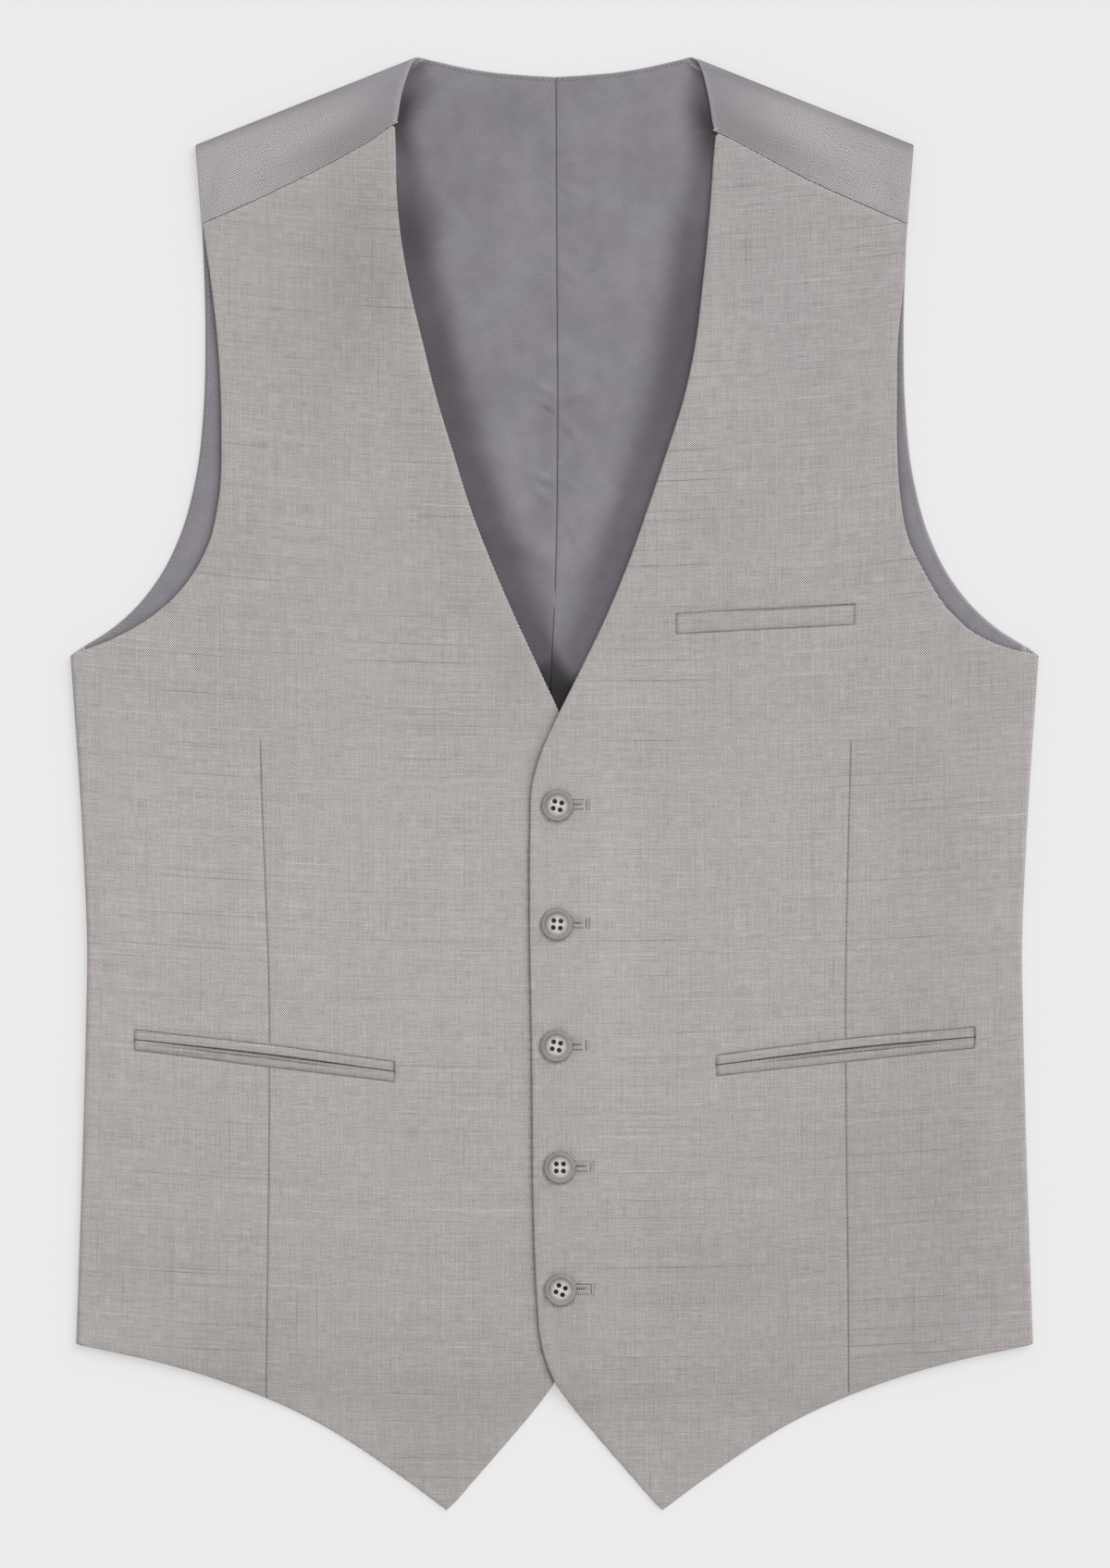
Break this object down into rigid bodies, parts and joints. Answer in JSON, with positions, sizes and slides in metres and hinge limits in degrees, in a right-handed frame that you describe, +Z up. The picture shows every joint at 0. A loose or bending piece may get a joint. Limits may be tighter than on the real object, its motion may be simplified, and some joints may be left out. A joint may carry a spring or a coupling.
{
  "type": "suit waistcoat laid flat",
  "caption": "Men's suit waistcoat, buttoned and laid flat on its back, with twill fronts, a satin back that runs over the shoulders, jetted hip pockets and a chest welt.",
  "frame": {"origin": "centre of the garment's outline on the surface that it lies on", "axes": "+X towards the wearer's left, +Y from the hem to the neck, +Z up from the surface through the back to the buttons"},
  "size_m": [0.4502, 0.6757, 0.0088],
  "materials": {
    "suiting": "fine twill melange, matt",
    "back_satin": "satin twill, soft sheen",
    "lining_satin": "satin, soft sheen",
    "button": "horn-like, satin polish"
  },
  "bodies": {
    "root": {"back_left": "back_satin", "back_right": "back_satin", "back_lining_left": "lining_satin", "back_lining_right": "lining_satin", "front_left": "suiting", "front_right": "suiting", "hip_jet_left_upper": "suiting", "hip_jet_left_lower": "suiting", "hip_jet_right_upper": "suiting", "hip_jet_right_lower": "suiting", "chest_welt": "suiting", "button_1": "button", "button_2": "button", "button_3": "button", "button_4": "button", "button_5": "button"}
  },
  "joints": []
}
